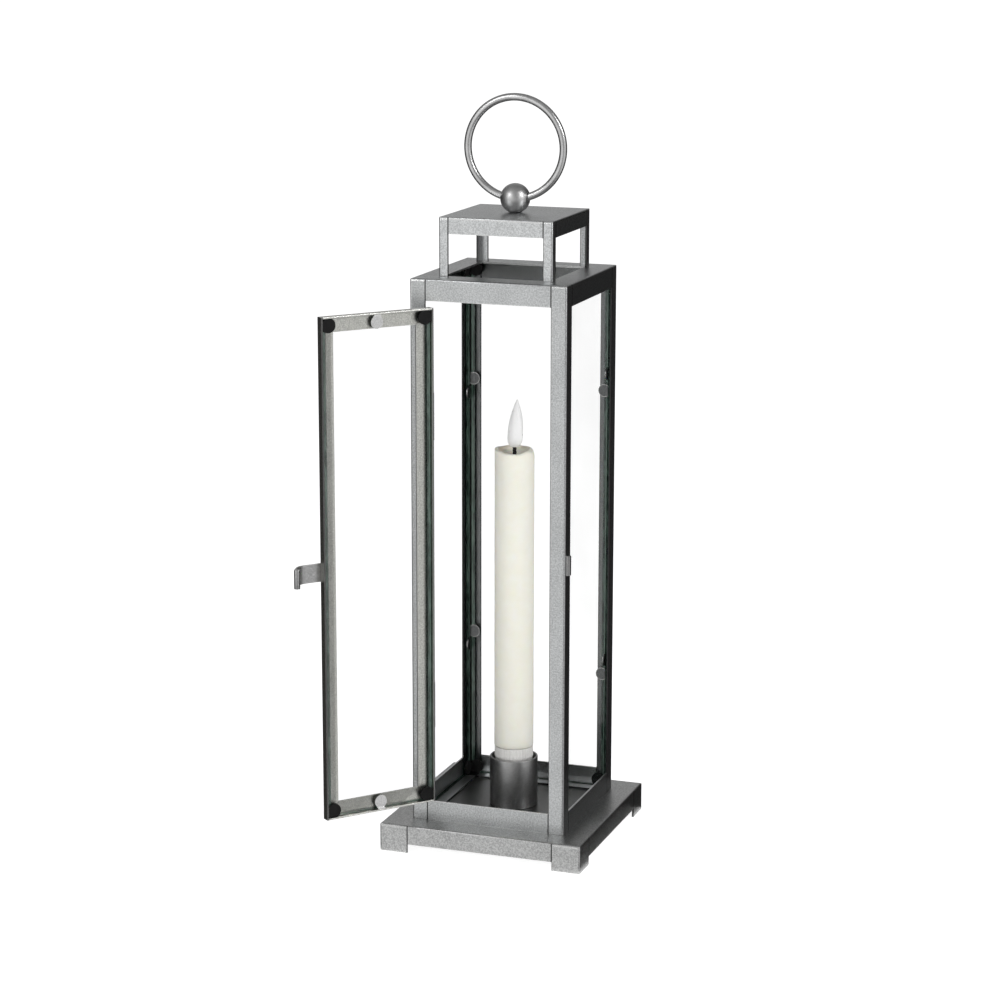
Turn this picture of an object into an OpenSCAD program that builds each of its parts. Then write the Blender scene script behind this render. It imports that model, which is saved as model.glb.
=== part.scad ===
// Tall square steel lantern with a hinged glass door, a ring handle and a battery taper candle.
// Millimetres. The origin is the centre of the base on the ground plane, the door faces -Y, +Z is up.

/* [Base] */
// Width of the square base plate
base_w = 124; // [106:1:150]
// Height of the base plate's top above the ground
base_h = 16.8; // [14:0.1:22]
// Height of the gap under the skirt, which the corner feet bridge
foot_drop = 5.3; // [3:0.1:7]
// Leg width of an L-shaped corner foot
foot_leg = 17.3; // [10:0.1:22]
// Sheet thickness of the base plate, its skirt and its feet
base_t = 1.2; // [1:0.1:2]

/* [Body frame] */
// Width of the square body
body_w = 94; // [78:1:100]
// Height of the body from the base plate to the top flange
body_h = 322; // [265:1:390]
// Leg width of an angle post
post_leg = 9.4; // [8:0.1:12]
// Sheet thickness of posts and rails
frame_t = 1.1; // [0.8:0.1:1.5]
// Outside radius of a folded edge
fold_r = 1.2; // [0.5:0.1:2]
// Height of a bottom rail
bottom_rail_h = 12; // [8:0.1:16]
// Height of a top rail
top_rail_h = 12.6; // [8:0.1:16]

/* [Turret] */
// Width of the square turret
turret_w = 68.4; // [56:0.1:74]
// Height of the turret with its cap plate
turret_h = 34; // [28:0.5:42]
// Leg width of a turret post
turret_leg = 5.7; // [4:0.1:8]
// Height of the apron strips under the cap plate
apron_h = 8.6; // [6:0.1:14]
// How far the vent's edge lies inside the turret's outer faces
vent_step = 2.1; // [1.2:0.1:4]

/* [Ring handle] */
// Diameter of the ball on the cap
ball_d = 17.4; // [15:0.1:21]
// Depth of the flat where the ball sits on the cap
ball_flat = 0.5; // [0.2:0.1:1]
// Wire diameter of the ring
ring_wire = 4.4; // [3.5:0.1:5]
// Diameter of the ring to the middle of its wire
ring_d = 57.8; // [48:0.1:70]
// Gap round the wire in the ball's hole
ring_gap = 0.2; // [0.1:0.05:0.4]

/* [Glass] */
// Thickness of a pane
glass_t = 2; // [1.5:0.1:2.5]
// Distance of a pane's side edges from the inside of the post
pane_side_gap = 2.9; // [2:0.1:3.5]
// Gap above a pane
pane_top_gap = 0.5; // [0.3:0.1:1]
// Thickness of a bent glass tab
tab_t = 0.8; // [0.5:0.1:1]
// Diameter of a tab's round head
tab_d = 7.6; // [6:0.1:8]
// Height of a tab's foot and neck
tab_h = 4.6; // [3:0.1:6]
// Diameter of a corner pad
pad_d = 8.6; // [7:0.1:9]
// Thickness of a corner pad
pad_t = 1.2; // [0.8:0.1:1.5]
// Height of the low tabs above the rail flange: left pane, right pane, back left, back right
tab_low = [83, 81.2, 91, 71.6]; // [60:0.1:110]
// Depth of the high tabs below the top flange: left pane, right pane, back left, back right
tab_high = [79.8, 63.2, 71.4, 73.8]; // [50:0.1:100]

/* [Door] */
// Opening angle of the door as modelled
door_open = 130; // [0:1:180]
// Width of a door frame member
door_leg = 9.3; // [7:0.1:11]
// Depth of the door frame
door_depth = 5; // [4.5:0.1:7]
// Sheet thickness of the door frame
door_t = 1; // [0.8:0.1:1.2]
// Gap above and below the door
door_gap = 2.7; // [0.8:0.1:3.2]
// Gap between the door's free edge and the post
free_gap = 2.8; // [0.8:0.1:3.2]
// How far the door's face stands proud of the posts
door_proud = 0.4; // [0.3:0.1:0.8]
// Gap round the door's pane
door_glass_gap = 0.3; // [0.2:0.1:0.5]

/* [Hinges] */
// Length of a barrel hinge
hinge_len = 27.5; // [22:0.5:34]
// Middle of the lower hinge above the door's bottom edge
hinge_low = 58.6; // [30:0.1:80]
// Middle of the upper hinge below the door's top edge
hinge_high = 62.5; // [30:0.1:80]
// Barrel diameter
barrel_d = 3.8; // [3.4:0.1:3.9]
// Hinge pin diameter
pin_d = 2; // [1.6:0.1:2.2]
// Radial running clearance of the pin
pin_gap = 0.05; // [0.03:0.01:0.1]
// Thickness of a hinge leaf
leaf_t = 0.5; // [0.4:0.05:0.6]
// Gap between the two leaves of a closed hinge
leaf_gap = 0.4; // [0.3:0.05:0.6]
// Reach of the fixed leaf behind the post's front leg
leaf_reach = 5.5; // [4:0.1:6]
// End gap between barrel segments and round the barrel
barrel_gap = 0.35; // [0.3:0.05:0.5]
// How far the hinge axis stands in front of the closed door's face
axis_out = 2.25; // [2.25:0.05:2.8]

/* [Latch] */
// Height of the latch strap
strap_h = 10.8; // [8:0.1:14]
// Thickness of the latch strap
strap_t = 0.9; // [0.7:0.05:1.1]
// Length of the strap that is welded to the door's stile
strap_foot = 7.5; // [5:0.1:8.5]
// Outside radius of the strap's bend
strap_bend_r = 8; // [5:0.1:10]
// Angle that the strap's lip is bent in by
strap_angle = 52; // [40:1:60]
// Length of the straight lip after the bend
lip_len = 5.5; // [3.5:0.1:7]
// Radius of the rolled bead on the strap's tip
bead_r = 1.75; // [1.4:0.05:1.9]
// How far the keeper stands out of the post
keeper_out = 1.6; // [1:0.1:2]
// Depth of the keeper along the post's side face
keeper_w = 4; // [3:0.1:5]
// Height of the keeper
keeper_h = 11.6; // [8:0.1:14]
// Distance of the keeper from the post's front face
keeper_back = 3; // [2:0.1:3.5]
// Gap between the strap's bend and the post's folded corner
latch_gap = 0.34; // [0.32:0.01:0.4]

/* [Candle cup] */
// Outside diameter of the cup
cup_d = 28.7; // [26:0.1:32]
// Height of the cup
cup_h = 29.9; // [24:0.1:36]
// Wall and floor thickness of the cup
cup_t = 1.2; // [0.8:0.1:1.4]
// Chamfer on the cup's rim
cup_chamfer = 0.5; // [0.2:0.1:0.6]
// Head diameter of the rivet under the cup
rivet_d = 6.4; // [5:0.1:8]
// Shank diameter of the rivet
rivet_shank_d = 3.2; // [2.4:0.1:4]
// Head height of the rivet
rivet_h = 0.9; // [0.6:0.1:1.2]

/* [Candle] */
// Diameter of the wax shell
wax_d = 23.4; // [22:0.1:24.4]
// Wall of the wax shell
wax_t = 2.1; // [1.5:0.1:2.4]
// Height of the wax shell
wax_h = 181.9; // [160:0.1:200]
// Depth of the dish inside the rim
dish_depth = 4.4; // [3:0.1:6]
// Thickness of the wax under the dish
crown_t = 5; // [4:0.1:8]
// Height of the candle's plastic base below the wax
plug_h = 35.1; // [30:0.1:40]
// Diameter of the plastic base
plug_d = 22.4; // [21:0.1:22.6]
// Height of the base that shows its ribs
ribbed_h = 6.4; // [4:0.1:9]
// Depth of the ribs
rib_depth = 0.35; // [0.2:0.05:0.4]
// Number of ribs
rib_count = 40; // [24:2:60]
// Height of the neck that turns inside the wax shell
neck_h = 6; // [4:0.1:8]
// Gap between parts that turn or lift against each other
turn_gap = 0.3; // [0.3:0.05:0.5]
// Depth of the recess under the base
recess_h = 1.6; // [1.4:0.1:2]
// Height of the flame
flame_h = 28; // [24:0.1:34]
// Greatest diameter of the flame
flame_d = 8.9; // [7:0.1:10]
// Lean of the flame towards +X
flame_lean = 3.3; // [0:0.1:8]
// Diameter of the flame where it meets the wick
flame_foot_d = 6.6; // [5:0.1:7]
// Diameter of the wick
wick_d = 2.4; // [1.8:0.1:3]
// Visible height of the wick over the dish
wick_h = 3.9; // [3:0.1:6]

/* [Battery parts] */
// Diameter of a cell
cell_d = 10.5; // [10.5:0.1:11]
// Length of a cell
cell_len = 44.5; // [40:0.1:46]
// Height of a cell's contact nub
nub_h = 0.8; // [0.6:0.1:1]
// Wall of the battery tube
tube_t = 3.8; // [2.5:0.1:3.9]
// Height of the contact spring
spring_h = 7; // [5:0.1:9]
// Wire diameter of the contact spring
spring_wire = 0.8; // [0.6:0.1:1]
// Turns of the contact spring
spring_turns = 4; // [3:1:6]
// Thickness of the circuit board
board_t = 1.6; // [1:0.1:2]
// Diameter of the light-emitting diode
led_d = 5; // [4:0.1:5.4]
// Height of the light-emitting diode
led_h = 7; // [6:0.1:8.6]
// Travel of the slide switch
switch_travel = 3; // [2:0.1:4]
// Length and width of the switch knob
switch_w = 3; // [2.5:0.1:4]

/* [Hidden] */
$fn = 48;
eps = 0.01;
body_r = body_w / 2;
inner_r = body_r - frame_t;
pane_r = inner_r - pane_side_gap;
clear_r = body_r - post_leg;
body_top = base_h + body_h;
cap_top = body_top + turret_h;
turret_r = turret_w / 2;
vent_r = turret_r - vent_step;
cap_t = frame_t;
ball_r = ball_d / 2;
ball_z = cap_top + ball_r - ball_flat;
ring_r = ring_d / 2;
wire_r = ring_wire / 2;

screw_d = 4;
screw_in_ball = 3.2;
screw_head_d = 7;
screw_head_h = 2.4;
screw_hole_gap = 0.2;
washer_d = 10;
washer_t = 0.8;

pane_z0 = base_h + frame_t;
pane_z1 = body_top - frame_t - pane_top_gap;
tab_reach = 4.7;
back_pad_inset = 6.2;
side_pad_inset = glass_t + pad_t + pad_d / 2 + 0.1;

door_x0 = -clear_r + 2 * leaf_t + leaf_gap;
door_x1 = clear_r - free_gap;
door_y0 = -body_r - door_proud;
door_y1 = door_y0 + door_depth;
door_z0 = base_h + bottom_rail_h + door_gap;
door_z1 = body_top - top_rail_h - door_gap;
door_mid_x = (door_x0 + door_x1) / 2;
door_mid_z = (door_z0 + door_z1) / 2;
door_glass_y = door_y0 + door_t + glass_t;
door_tab_foot = 1.8;
door_tab_drop = 4.4;
door_pad_inset = 3.9;

barrel_r = barrel_d / 2;
axis_x = -clear_r + barrel_r;
axis_y = door_y0 - axis_out;
bore_r = pin_d / 2 + pin_gap;
segment_h = (hinge_len - 2 * barrel_gap) / 3;
leaf_in_barrel = 0.4;
pin_head_r = 1.5;
pin_head_h = 0.7;
hinge_z = [door_z0 + hinge_low, door_z1 - hinge_high];

keeper_chamfer = 0.8;
strap_x0 = door_x1 - strap_foot;
bend_reach = strap_bend_r - strap_t - fold_r - latch_gap;
bend_drop = fold_r - body_r - (door_y0 - strap_t + strap_bend_r);
bend_x = body_r - fold_r - sqrt(max(0, bend_reach * bend_reach - bend_drop * bend_drop));

cup_r = cup_d / 2;
candle_z0 = base_h + cup_t + 0.1;
shoulder_z = candle_z0 + plug_h;
wax_z0 = shoulder_z + turn_gap;
wax_z1 = wax_z0 + wax_h;
wax_r = wax_d / 2;
wax_bore_r = wax_r - wax_t;
dish_z = wax_z1 - dish_depth;
crown_z = dish_z - crown_t;
plug_r = plug_d / 2;
neck_r = wax_bore_r - turn_gap;
recess_r = 8.5;
chamber_z = candle_z0 + 8;
contact_t = 0.4;
cell_z = chamber_z + contact_t + spring_h + turn_gap;
cells_top = cell_z + 2 * cell_len;
chamber_r = cell_d / 2 + 0.95;
tube_z0 = shoulder_z + neck_h + 0.4;
tube_z1 = cells_top + 2 + 2;
tube_r = wax_bore_r - 0.1;
board_z = tube_z1;
led_top = crown_z + crown_t - 2;
wick_top = dish_z + wick_h;
flame_belly = 0.36;
lead_r = 0.3;
lead_x = 1.27;
rib_root = 0.05;
switch_y = rivet_d / 2 + 1;
slot_top = chamber_z - 2;

// A box given by its lowest and highest corners
module block(low, high) {
    translate(low) cube(high - low);
}

// Copies its child from the +X +Y corner to the corner with the given signs
module corner(sx, sy) {
    mirror([sx < 0 ? 1 : 0, 0, 0]) mirror([0, sy < 0 ? 1 : 0, 0]) children();
}

// Turns its child from the front side (-Y) to side 0 front, 1 right, 2 back, 3 left
module side(k) {
    rotate([0, 0, 90 * k]) children();
}

// Angle section with its folded corner at the origin and its legs along -X and -Y
module angle_section(leg, t, r) {
    difference() {
        union() {
            translate([-leg, -leg]) square([leg, leg - r]);
            translate([-leg, -leg]) square([leg - r, leg]);
            translate([-r, -r]) circle(r);
        }
        translate([-leg - 1, -leg - 1]) square([leg + 1 - t, leg + 1 - t]);
    }
}

// Square with round corners, centred
module rounded_square(w, r) {
    difference() {
        square(w, center = true);
        for (sx = [-1, 1]) for (sy = [-1, 1])
            translate([sx * (w / 2 - r), sy * (w / 2 - r)]) difference() {
                translate([sx > 0 ? 0 : -r - 1, sy > 0 ? 0 : -r - 1]) square(r + 1);
                circle(r);
            }
    }
}

// A prism along Y from y0 to y1 over an outline drawn in X and Z
module prism_y(y0, y1) {
    translate([0, y1, 0]) rotate([90, 0, 0]) linear_extrude(y1 - y0) children();
}

// ---- base ----

module base_plate() {
    half = base_w / 2;
    color("gray") difference() {
        intersection() {
            union() {
                translate([0, 0, base_h - base_t]) linear_extrude(base_t) rounded_square(base_w, fold_r);
                for (k = [0:3]) side(k)
                    block([-half + foot_leg, -half, foot_drop], [half - foot_leg, -half + base_t, base_h - base_t + eps]);
            }
            roof_shape(base_w, 0, base_h, fold_r);
        }
        translate([0, 0, base_h - base_t - 1]) cylinder(d = rivet_shank_d, h = base_t + 2);
    }
}

// Outline of a wide block with its two top corners rounded
module roof_outline(w, low, high, r) {
    translate([-w / 2, low]) square([w, high - r - low]);
    translate([-w / 2 + r, low]) square([w - 2 * r, high - low]);
    for (sx = [-1, 1]) translate([sx * (w / 2 - r), high - r]) circle(r);
}

// A solid of the given width whose four top edges are rounded like a folded sheet
module roof_shape(w, low, high, r) {
    intersection() {
        prism_y(-w, w) roof_outline(w, low, high, r);
        rotate([0, 0, 90]) prism_y(-w, w) roof_outline(w, low, high, r);
    }
}

module corner_foot(sx, sy) {
    color("gray") corner(sx, sy) translate([base_w / 2, base_w / 2, 0])
        linear_extrude(base_h - base_t) angle_section(foot_leg, base_t, fold_r);
}

// ---- body frame ----

module angle_post(sx, sy) {
    color("darkgray") corner(sx, sy) translate([body_r, body_r, base_h])
        linear_extrude(body_h - frame_t) angle_section(post_leg, frame_t, fold_r);
}

module bottom_rail(k) {
    color("darkgray") side(k) {
        block([-clear_r, -body_r, base_h], [clear_r, -body_r + frame_t, base_h + bottom_rail_h]);
        block([-clear_r, -body_r + frame_t - eps, base_h], [clear_r, -clear_r, base_h + frame_t]);
    }
}

module top_rail(k) {
    color("silver") side(k) intersection() {
        union() {
            block([-clear_r, -body_r, body_top - top_rail_h], [clear_r, -body_r + frame_t, body_top - frame_t + eps]);
            translate([0, 0, body_top - frame_t]) linear_extrude(frame_t) intersection() {
                rounded_square(body_w, fold_r);
                polygon([[-body_r, -body_r], [body_r, -body_r], [vent_r, -vent_r], [-vent_r, -vent_r]]);
            }
        }
        roof_shape(body_w, base_h, body_top, fold_r);
    }
}

// ---- turret ----

module turret_leg_at(sx, sy) {
    color("silver") corner(sx, sy) translate([turret_r, turret_r, body_top])
        linear_extrude(turret_h - cap_t) angle_section(turret_leg, frame_t, fold_r);
}

module turret_aprons() {
    reach = turret_r - turret_leg;
    color("silver") for (k = [0:3]) side(k)
        block([-reach, -turret_r, cap_top - cap_t - apron_h], [reach, -turret_r + frame_t, cap_top - cap_t]);
}

module cap_plate() {
    color("gray") difference() {
        intersection() {
            translate([0, 0, cap_top - cap_t]) linear_extrude(cap_t) rounded_square(turret_w, fold_r);
            roof_shape(turret_w, body_top, cap_top, cap_t - 0.2);
        }
        translate([0, 0, cap_top - cap_t - 1]) cylinder(d = screw_d + 2 * screw_hole_gap, h = cap_t + 2);
    }
}

// The hole through the ball flares so that the curved wire can swing in it
module flared_bore() {
    reach = ball_r + 1;
    translate([0, 0, ball_z]) rotate([0, 90, 0]) rotate_extrude() difference() {
        translate([0, -reach]) square([ring_r / 2, 2 * reach]);
        translate([ring_r, 0]) circle(ring_r - wire_r - ring_gap, $fn = 128);
    }
}

module ball() {
    color("dimgray") difference() {
        translate([0, 0, ball_z]) sphere(ball_r);
        translate([0, 0, cap_top - ball_d]) cylinder(d = ball_d + 2, h = ball_d);
        flared_bore();
        translate([0, 0, cap_top - 1]) cylinder(d = screw_d, h = 1 + screw_in_ball);
    }
}

module ball_screw() {
    head_z = cap_top - cap_t - washer_t;
    color("lightgray") union() {
        translate([0, 0, head_z - screw_head_h]) cylinder(d = screw_head_d, h = screw_head_h);
        translate([0, 0, head_z - eps]) cylinder(d = screw_d, h = cap_top - head_z + screw_in_ball + eps);
    }
}

module ball_washer() {
    color("lightgray") translate([0, 0, cap_top - cap_t - washer_t]) difference() {
        cylinder(d = washer_d, h = washer_t);
        translate([0, 0, -1]) cylinder(d = screw_d + 2 * screw_hole_gap, h = washer_t + 2);
    }
}

module ring_handle() {
    color("gray") translate([0, 0, ball_z + ring_r]) rotate([90, 0, 0])
        rotate_extrude($fn = 128) translate([ring_r, 0]) circle(wire_r);
}

// ---- fixed panes ----

module glass_side(k) {
    color("lightblue", 0.4) side(k)
        block([-pane_r, -inner_r, pane_z0], [pane_r, -inner_r + glass_t, pane_z1]);
}

// Bent tab of the back pane in the +X +Y corner: a foot on the post, a neck and a round head
module pane_tab(z) {
    face_y = inner_r - glass_t;
    block([inner_r - tab_t, face_y - tab_t, z - tab_h / 2], [inner_r, inner_r, z + tab_h / 2]);
    block([inner_r - tab_reach, face_y - tab_t, z - tab_h / 2], [inner_r - tab_t + eps, face_y, z + tab_h / 2]);
    translate([inner_r - tab_reach, face_y, z]) rotate([90, 0, 0]) cylinder(d = tab_d, h = tab_t);
}

// The same tab for the side pane of that corner
module side_pane_tab(z) {
    mirror([1, -1, 0]) pane_tab(z);
}

module glass_tabs() {
    flange_z = base_h + frame_t;
    ceiling_z = body_top - frame_t;
    color("gray") {
        for (sy = [-1, 1]) for (z = [flange_z + tab_low[0], ceiling_z - tab_high[0]])
            corner(-1, sy) side_pane_tab(z);
        for (sy = [-1, 1]) for (z = [flange_z + tab_low[1], ceiling_z - tab_high[1]])
            corner(1, sy) side_pane_tab(z);
        for (z = [flange_z + tab_low[2], ceiling_z - tab_high[2]]) corner(-1, 1) pane_tab(z);
        for (z = [flange_z + tab_low[3], ceiling_z - tab_high[3]]) corner(1, 1) pane_tab(z);
    }
}

// Round pads in the four corners of the pane on side k
module pane_pads(k, inset) {
    side(k) for (sx = [-1, 1]) for (z = [pane_z0 + pad_d / 2, pane_z1 - pad_d / 2])
        translate([sx * (inner_r - inset), -inner_r + glass_t + pad_t, z]) rotate([90, 0, 0])
            cylinder(d = pad_d, h = pad_t);
}

module glass_pads() {
    color("black") {
        pane_pads(1, side_pad_inset);
        pane_pads(2, back_pad_inset);
        pane_pads(3, side_pad_inset);
    }
}

// ---- door, drawn closed and turned open about the hinge axis ----

module at_door() {
    translate([axis_x, axis_y, 0]) rotate([0, 0, -door_open]) translate([-axis_x, -axis_y, 0]) children();
}

// Mitred front flange between two corners, and the side flange along the outer edge
module door_stile(x_out, x_in, x_wall) {
    leg = door_leg;
    prism_y(door_y0, door_y0 + door_t)
        polygon([[x_out, door_z0], [x_in, door_z0 + leg], [x_in, door_z1 - leg], [x_out, door_z1]]);
    block([min(x_out, x_wall), door_y0, door_z0], [max(x_out, x_wall), door_y1, door_z1]);
}

module door_rail(z_out, z_in, z_wall) {
    leg = door_leg;
    prism_y(door_y0, door_y0 + door_t) intersection() {
        polygon([[door_x0, z_out], [door_x0 + leg, z_in], [door_x1 - leg, z_in], [door_x1, z_out]]);
        translate([door_x0 + door_t, min(z_out, z_in)]) square([door_x1 - door_x0 - 2 * door_t, leg]);
    }
    block([door_x0 + door_t, door_y0, min(z_out, z_wall)], [door_x1 - door_t, door_y1, max(z_out, z_wall)]);
}

module door_stile_hinge() {
    color("silver") at_door() door_stile(door_x0, door_x0 + door_leg, door_x0 + door_t);
}

module door_stile_free() {
    color("silver") at_door() door_stile(door_x1, door_x1 - door_leg, door_x1 - door_t);
}

module door_rail_top() {
    color("silver") at_door() door_rail(door_z1, door_z1 - door_leg, door_z1 - door_t);
}

module door_rail_bottom() {
    color("silver") at_door() door_rail(door_z0, door_z0 + door_leg, door_z0 + door_t);
}

module door_glass() {
    in = door_t + door_glass_gap;
    color("lightblue", 0.4) at_door()
        block([door_x0 + in, door_y0 + door_t, door_z0 + in], [door_x1 - in, door_glass_y, door_z1 - in]);
}

// Bent tab in the middle of a door rail; up is 1 for the top rail and -1 for the bottom rail
module door_tab(z_wall, up) {
    translate([door_mid_x, door_glass_y, z_wall]) mirror([0, 0, up > 0 ? 0 : 1]) {
        block([-tab_h / 2, 0, -tab_t], [tab_h / 2, door_tab_foot, 0]);
        block([-tab_h / 2, 0, -door_tab_drop], [tab_h / 2, tab_t, -tab_t + eps]);
        translate([0, tab_t, -door_tab_drop]) rotate([90, 0, 0]) cylinder(d = tab_d, h = tab_t);
    }
}

module door_tabs() {
    color("gray") at_door() {
        door_tab(door_z1 - door_t, 1);
        door_tab(door_z0 + door_t, -1);
    }
}

module door_pads() {
    x_low = door_x0 + door_t;
    x_high = door_x1 - door_t;
    z_low = door_z0 + door_t;
    z_high = door_z1 - door_t;
    color("black") at_door() intersection() {
        for (x = [x_low + door_pad_inset, x_high - door_pad_inset])
            for (z = [z_low + door_pad_inset, z_high - door_pad_inset])
                translate([x, door_glass_y + pad_t, z]) rotate([90, 0, 0]) cylinder(d = pad_d, h = pad_t);
        block([x_low, door_y0, z_low], [x_high, door_y1, z_high]);
    }
}

// ---- hinges ----

// One barrel segment standing on the hinge axis
module barrel_segment(z) {
    translate([axis_x, axis_y, z]) cylinder(r = barrel_r, h = segment_h);
}

// Room round the axis for a segment of the other leaf
module barrel_room(z) {
    translate([axis_x, axis_y, z - barrel_gap]) cylinder(r = barrel_r + barrel_gap, h = segment_h + 2 * barrel_gap);
}

module pin_bore(z) {
    translate([axis_x, axis_y, z - hinge_len]) cylinder(r = bore_r, h = 2 * hinge_len);
}

module hinge_leaves_post() {
    step = segment_h + barrel_gap;
    color("gray") for (z = hinge_z) {
        low = z - hinge_len / 2;
        difference() {
            union() {
                block([-clear_r, axis_y, low],
                      [-clear_r + leaf_t, -inner_r + leaf_t, low + hinge_len]);
                block([-clear_r - leaf_reach, -inner_r, low], [-clear_r + eps, -inner_r + leaf_t, low + hinge_len]);
                barrel_segment(low);
                barrel_segment(low + 2 * step);
            }
            barrel_room(low + step);
            pin_bore(z);
        }
    }
}

module hinge_leaves_door() {
    step = segment_h + barrel_gap;
    color("gray") at_door() for (z = hinge_z) {
        low = z - hinge_len / 2;
        difference() {
            union() {
                block([door_x0 - leaf_t, axis_y + barrel_r - leaf_in_barrel, low],
                      [door_x0, door_y1 - leaf_t, low + hinge_len]);
                barrel_segment(low + step);
            }
            translate([0, 0, -1]) barrel_room(low);
            translate([0, 0, 1]) barrel_room(low + 2 * step);
            barrel_room(low);
            barrel_room(low + 2 * step);
            pin_bore(z);
        }
    }
}

module hinge_pins() {
    color("lightgray") for (z = hinge_z) translate([axis_x, axis_y, z - hinge_len / 2]) {
        translate([0, 0, -pin_head_h]) cylinder(r = pin_head_r, h = pin_head_h);
        translate([0, 0, -eps]) cylinder(d = pin_d, h = hinge_len + 2 * eps);
        translate([0, 0, hinge_len]) cylinder(r = pin_head_r, h = pin_head_h);
    }
}

// ---- latch ----

module latch_keeper() {
    front = -body_r + keeper_back;
    back = front + keeper_w;
    color("gray") translate([0, 0, door_mid_z - keeper_h / 2]) linear_extrude(keeper_h)
        polygon([[body_r, front], [body_r + keeper_out, front + keeper_chamfer],
                 [body_r + keeper_out, back - keeper_chamfer], [body_r, back]]);
}

// Point on the strap's bend, that far from the bend's centre and after that angle
function bend_point(r, angle) = [bend_x + r * sin(angle), door_y0 - strap_t + strap_bend_r - r * cos(angle)];

// Plan of the closed strap: straight over the post, one bend, a slanting lip and a rolled bead
module strap_plan() {
    r = strap_bend_r;
    a = strap_angle;
    lip = lip_len * [cos(a), sin(a)];
    polygon(concat(
        [[strap_x0, door_y0], [strap_x0, door_y0 - strap_t]],
        [for (i = [0:12]) bend_point(r, a * i / 12)],
        [bend_point(r, a) + lip, bend_point(r - strap_t, a) + lip],
        [for (i = [0:12]) bend_point(r - strap_t, a - a * i / 12)]
    ));
    translate(bend_point(r - bead_r - 0.03, a) + lip) circle(bead_r);
}

module latch_strap() {
    color("gray") at_door() translate([0, 0, door_mid_z - strap_h / 2]) linear_extrude(strap_h) strap_plan();
}

// ---- candle cup ----

module candle_cup() {
    c = cup_chamfer;
    color("dimgray") translate([0, 0, base_h]) difference() {
        rotate_extrude() polygon([[0, 0], [cup_r - c, 0], [cup_r, c], [cup_r, cup_h - c], [cup_r - c, cup_h],
                                  [cup_r - cup_t, cup_h], [cup_r - cup_t, cup_t], [0, cup_t]]);
        translate([0, 0, -1]) cylinder(d = rivet_shank_d, h = cup_t + 2);
    }
}

module cup_rivet() {
    low = base_h - base_t;
    high = base_h + cup_t;
    color("lightgray") union() {
        translate([0, 0, low - rivet_h]) cylinder(d = rivet_d, h = rivet_h);
        translate([0, 0, low - eps]) cylinder(d = rivet_shank_d, h = high - low + 2 * eps);
        translate([0, 0, high]) cylinder(d = rivet_d, h = rivet_h);
    }
}

// ---- candle ----

module wax_shell() {
    color("ivory") difference() {
        translate([0, 0, wax_z0]) cylinder(r = wax_r, h = wax_h);
        translate([0, 0, wax_z0 - 1]) cylinder(r = wax_bore_r, h = crown_z - wax_z0 + 1);
        translate([0, 0, crown_z - 1]) cylinder(d = led_d + 2 * turn_gap, h = led_top - crown_z + 1);
        translate([0, 0, crown_z]) cylinder(d = wick_d, h = crown_t + 1);
        translate([0, 0, dish_z]) cylinder(r1 = wax_bore_r - 1, r2 = wax_bore_r + 0.8, h = dish_depth + eps);
    }
}

module wick() {
    color("black") translate([0, 0, led_top]) cylinder(d = wick_d, h = wick_top + 2 - led_top);
}

// Teardrop radius over the height: a parabola up to the belly, then a cosine to the tip
function flame_r(t) = t < flame_belly
    ? flame_d / 2 - (flame_d - flame_foot_d) / 2 * pow(1 - t / flame_belly, 2)
    : flame_d / 2 * cos(90 * (t - flame_belly) / (1 - flame_belly));

module flame() {
    steps = 24;
    color("white") difference() {
        translate([0, 0, wick_top]) rotate([0, flame_lean, 0]) rotate_extrude()
            polygon(concat([[0, 0]], [for (i = [0:steps - 1]) [flame_r(i / steps), flame_h * i / steps]], [[0, flame_h]]));
        translate([0, 0, wick_top - 1]) cylinder(d = wick_d, h = 3);
    }
}

module battery_tube() {
    color("white") translate([0, 0, tube_z0]) difference() {
        cylinder(r = tube_r, h = tube_z1 - tube_z0);
        translate([0, 0, -1]) cylinder(r = tube_r - tube_t, h = tube_z1 - tube_z0 - 1);
    }
}

module cells() {
    color("goldenrod") for (i = [0, 1]) translate([0, 0, cell_z + i * cell_len]) {
        cylinder(d = cell_d, h = cell_len - nub_h);
        translate([0, 0, cell_len - nub_h - eps]) cylinder(d = cell_d / 3, h = nub_h + eps);
    }
}

module contact_plate() {
    color("silver") translate([0, 0, cells_top]) cylinder(d = cell_d, h = contact_t);
}

module circuit_board() {
    color("green") translate([0, 0, board_z]) cylinder(r = tube_r - 0.4, h = board_t);
}

module led() {
    color("white") translate([0, 0, led_top - led_h]) cylinder(d = led_d, h = led_h);
}

module led_leads() {
    color("silver") for (sx = [-1, 1]) translate([sx * lead_x, 0, board_z + board_t])
        cylinder(r = lead_r, h = led_top - led_h - board_z - board_t);
}

// Serrated disc outline with alternating tip and root points
module ribbed_outline() {
    polygon([for (i = [0:2 * rib_count - 1])
        let (r = plug_r + (i % 2 == 0 ? rib_depth : rib_root), a = 180 * i / rib_count) [r * cos(a), r * sin(a)]]);
}

module candle_plug() {
    color("whitesmoke") difference() {
        union() {
            translate([0, 0, candle_z0]) cylinder(r = plug_r, h = plug_h);
            translate([0, 0, shoulder_z - ribbed_h]) linear_extrude(ribbed_h) ribbed_outline();
            translate([0, 0, shoulder_z - eps]) cylinder(r = neck_r, h = neck_h + eps);
        }
        translate([0, 0, candle_z0 - 1]) cylinder(r = recess_r, h = recess_h + 1);
        translate([0, 0, chamber_z]) cylinder(r = chamber_r, h = plug_h + neck_h);
        block([-switch_w / 2 - turn_gap, switch_y - turn_gap, candle_z0 - 1],
              [switch_w / 2 + switch_travel + turn_gap, switch_y + switch_w + turn_gap, slot_top]);
    }
}

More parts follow.
